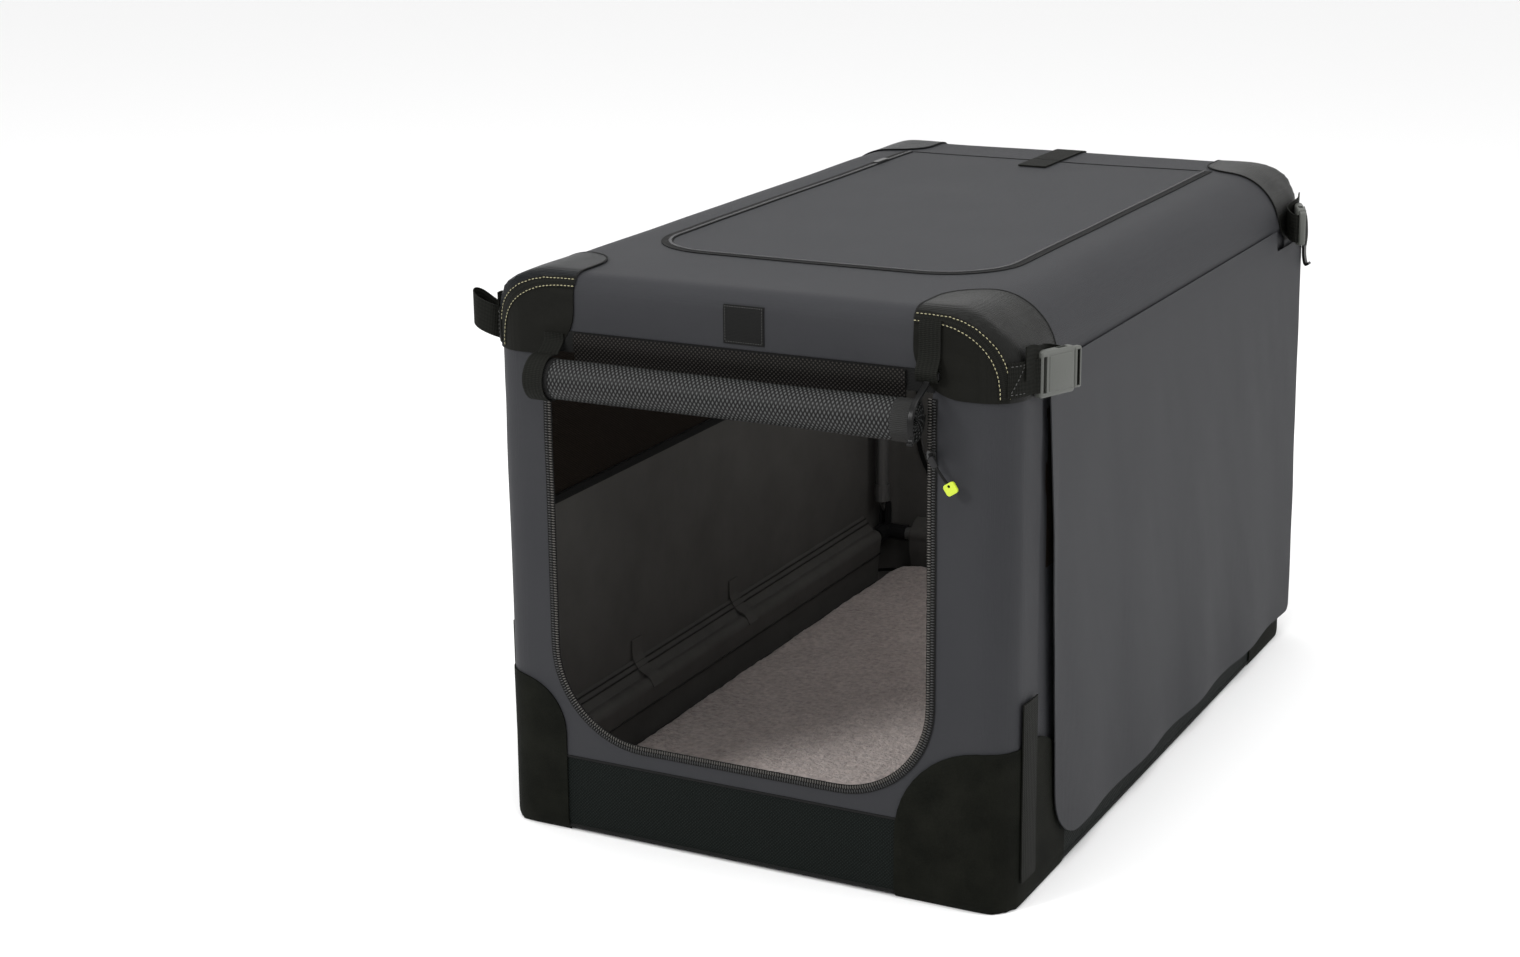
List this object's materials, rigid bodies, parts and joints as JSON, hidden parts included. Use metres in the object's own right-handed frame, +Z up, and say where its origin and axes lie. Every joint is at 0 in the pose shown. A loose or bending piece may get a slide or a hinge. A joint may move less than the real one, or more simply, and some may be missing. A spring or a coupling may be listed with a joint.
{
  "type": "soft folding dog crate",
  "caption": "Soft-sided folding dog crate: knee-jointed steel frame in a grey fabric cover with mesh doorway, roll-up door, side curtains, top hatch and fleece mat.",
  "frame": {"origin": "middle of the whole object's footprint, on the floor that it stands on", "axes": "+Z up, -Y towards the front doorway with the rolled-up door, +X to the right seen from the front"},
  "size_m": [0.7056, 1.1091, 0.6733],
  "materials": {
    "grey_cloth": "matt coated grey polyester",
    "black_cloth": "matt black reinforcing cloth",
    "black_mesh": "black polyester mesh",
    "webbing": "black woven webbing",
    "steel_tube": "plain drawn tube",
    "joint_plastic": "moulded black",
    "buckle_plastic": "moulded grey",
    "zip_plastic": "black zip tape and teeth",
    "fleece": "taupe deep-pile fleece"
  },
  "bodies": {
    "base": {"floor_tray": "black_mesh", "fleece_mat": "fleece", "front_panel": "grey_cloth", "rear_panel": "grey_cloth", "left_wall": "grey_cloth", "right_wall": "grey_cloth", "foot_patch_front_right": "black_cloth", "foot_patch_front_left": "black_cloth", "foot_patch_rear_right": "black_cloth", "foot_patch_rear_left": "black_cloth", "door_zip": "zip_plastic", "rear_zip": "zip_plastic", "base_rail_left": "steel_tube", "base_rail_right": "steel_tube", "base_cross_front": "steel_tube", "base_cross_rear": "steel_tube", "foot_joint_front_right": "joint_plastic", "foot_joint_front_left": "joint_plastic", "foot_joint_rear_right": "joint_plastic", "foot_joint_rear_left": "joint_plastic"},
    "front_lower_legs": {"lower_leg_front_right": "steel_tube", "lower_leg_front_left": "steel_tube"},
    "front_upper_legs": {"upper_leg_front_right": "steel_tube", "upper_leg_front_left": "steel_tube"},
    "rear_lower_legs": {"lower_leg_rear_right": "steel_tube", "lower_leg_rear_left": "steel_tube"},
    "rear_upper_legs": {"upper_leg_rear_right": "steel_tube", "upper_leg_rear_left": "steel_tube"},
    "top_frame": {"top_rail_left": "steel_tube", "top_rail_right": "steel_tube", "hoop_front": "steel_tube", "hoop_rear": "steel_tube", "top_joint_front_right": "joint_plastic", "top_joint_front_left": "joint_plastic", "top_joint_rear_right": "joint_plastic", "top_joint_rear_left": "joint_plastic", "top_cover": "grey_cloth", "top_patch_front_right": "black_cloth", "top_patch_front_left": "black_cloth", "top_patch_rear_right": "black_cloth", "top_patch_rear_left": "black_cloth", "door_roll": "black_mesh", "roll_strap": "webbing", "roll_loop": "webbing"},
    "hatch": {"top_hatch": "grey_cloth"},
    "hatch_slider": {"hatch_slider": "zip_plastic"},
    "rear_door": {"rear_door": "black_mesh"},
    "roll_hook": {"roll_hook": "joint_plastic"},
    "curtain_right": {"curtain_right": "grey_cloth"},
    "curtain_left": {"curtain_left": "grey_cloth"},
    "zip_slider": {"zip_slider": "zip_plastic"},
    "zip_pull": {"zip_pull": "zip_plastic"},
    "tongue_front_right": {"buckle_tongue_front_right": "buckle_plastic"},
    "tongue_front_left": {"buckle_tongue_front_left": "buckle_plastic"},
    "tongue_rear_right": {"buckle_tongue_rear_right": "buckle_plastic"},
    "tongue_rear_left": {"buckle_tongue_rear_left": "buckle_plastic"},
    "button_front_right": {"knee_button_front_right": "buckle_plastic"},
    "button_front_left": {"knee_button_front_left": "buckle_plastic"},
    "button_rear_right": {"knee_button_rear_right": "buckle_plastic"},
    "button_rear_left": {"knee_button_rear_left": "buckle_plastic"}
  },
  "joints": [
    {"name": "fold", "type": "hinge", "parent": "base", "child": "front_lower_legs", "pos_m": [0, -0.47375, 0.112], "axis": [-1, 0, 0], "range_deg": [0, 85], "deforming": ["front_panel", "rear_panel", "left_wall", "right_wall", "foot_patch_front_right", "foot_patch_front_left", "foot_patch_rear_right", "foot_patch_rear_left", "door_zip", "rear_zip", "curtain_right", "curtain_left", "rear_door"]},
    {"name": "front_knee", "type": "hinge", "parent": "front_lower_legs", "child": "front_upper_legs", "pos_m": [0, -0.47375, 0.3425], "axis": [-1, 0, 0], "range_deg": [-170, 0]},
    {"name": "front_top", "type": "hinge", "parent": "front_upper_legs", "child": "top_frame", "pos_m": [0, -0.47375, 0.573], "axis": [-1, 0, 0], "range_deg": [0, 85]},
    {"name": "rear_foot", "type": "hinge", "parent": "base", "child": "rear_lower_legs", "pos_m": [0, 0.52825, 0.112], "axis": [-1, 0, 0], "range_deg": [-85, 0]},
    {"name": "rear_knee", "type": "hinge", "parent": "rear_lower_legs", "child": "rear_upper_legs", "pos_m": [0, 0.52825, 0.3425], "axis": [-1, 0, 0], "range_deg": [0, 170]},
    {"name": "button_front_right", "type": "slide", "parent": "front_upper_legs", "child": "button_front_right", "axis": [1, 0, 0], "range_m": [0, 0.0022], "stiffness_N_per_m": 400},
    {"name": "button_front_left", "type": "slide", "parent": "front_upper_legs", "child": "button_front_left", "axis": [-1, 0, 0], "range_m": [0, 0.0022], "stiffness_N_per_m": 400},
    {"name": "button_rear_right", "type": "slide", "parent": "rear_upper_legs", "child": "button_rear_right", "axis": [1, 0, 0], "range_m": [0, 0.0022], "stiffness_N_per_m": 400},
    {"name": "button_rear_left", "type": "slide", "parent": "rear_upper_legs", "child": "button_rear_left", "axis": [-1, 0, 0], "range_m": [0, 0.0022], "stiffness_N_per_m": 400},
    {"name": "hatch", "type": "hinge", "parent": "top_frame", "child": "hatch", "pos_m": [0, 0.43725, 0.67], "axis": [-1, 0, 0], "range_deg": [0, 170]},
    {"name": "hatch_slider", "type": "slide", "parent": "top_frame", "child": "hatch_slider", "axis": [0, -1, 0], "range_m": [0, 0.55]},
    {"name": "rear_door", "type": "hinge", "parent": "top_frame", "child": "rear_door", "pos_m": [0, 0.55225, 0.572], "axis": [1, 0, 0], "range_deg": [0, 120]},
    {"name": "curtain_right", "type": "hinge", "parent": "top_frame", "child": "curtain_right", "pos_m": [0.3224, 0, 0.593], "axis": [0, -1, 0], "range_deg": [0, 165]},
    {"name": "curtain_left", "type": "hinge", "parent": "top_frame", "child": "curtain_left", "pos_m": [-0.3224, 0, 0.593], "axis": [0, 1, 0], "range_deg": [0, 165]},
    {"name": "roll_hook", "type": "hinge", "parent": "top_frame", "child": "roll_hook", "pos_m": [0.2255, -0.50825, 0.606], "axis": [-1, 0, 0], "range_deg": [0, 80]},
    {"name": "zip_slider", "type": "slide", "parent": "top_frame", "child": "zip_slider", "axis": [0, 0, -1], "range_m": [0, 0.27]},
    {"name": "zip_pull", "type": "hinge", "parent": "zip_slider", "child": "zip_pull", "pos_m": [0.2285, -0.50485, 0.5205], "axis": [-1, 0, 0], "range_deg": [0, 90]},
    {"name": "tongue_front_right", "type": "slide", "parent": "top_frame", "child": "tongue_front_right", "axis": [0.3827, 0.9239, 0], "range_m": [0, 0.015]},
    {"name": "tongue_front_left", "type": "slide", "parent": "top_frame", "child": "tongue_front_left", "axis": [-0.3827, 0.9239, 0], "range_m": [0, 0.015]},
    {"name": "tongue_rear_right", "type": "slide", "parent": "top_frame", "child": "tongue_rear_right", "axis": [0.3827, -0.9239, 0], "range_m": [0, 0.015]},
    {"name": "tongue_rear_left", "type": "slide", "parent": "top_frame", "child": "tongue_rear_left", "axis": [-0.3827, -0.9239, 0], "range_m": [0, 0.015]}
  ],
  "couplings": [
    {"joint": "front_knee", "follows": "fold", "ratio": -2},
    {"joint": "front_top", "follows": "fold", "ratio": 1},
    {"joint": "rear_foot", "follows": "fold", "ratio": -1},
    {"joint": "rear_knee", "follows": "fold", "ratio": 2}
  ]
}
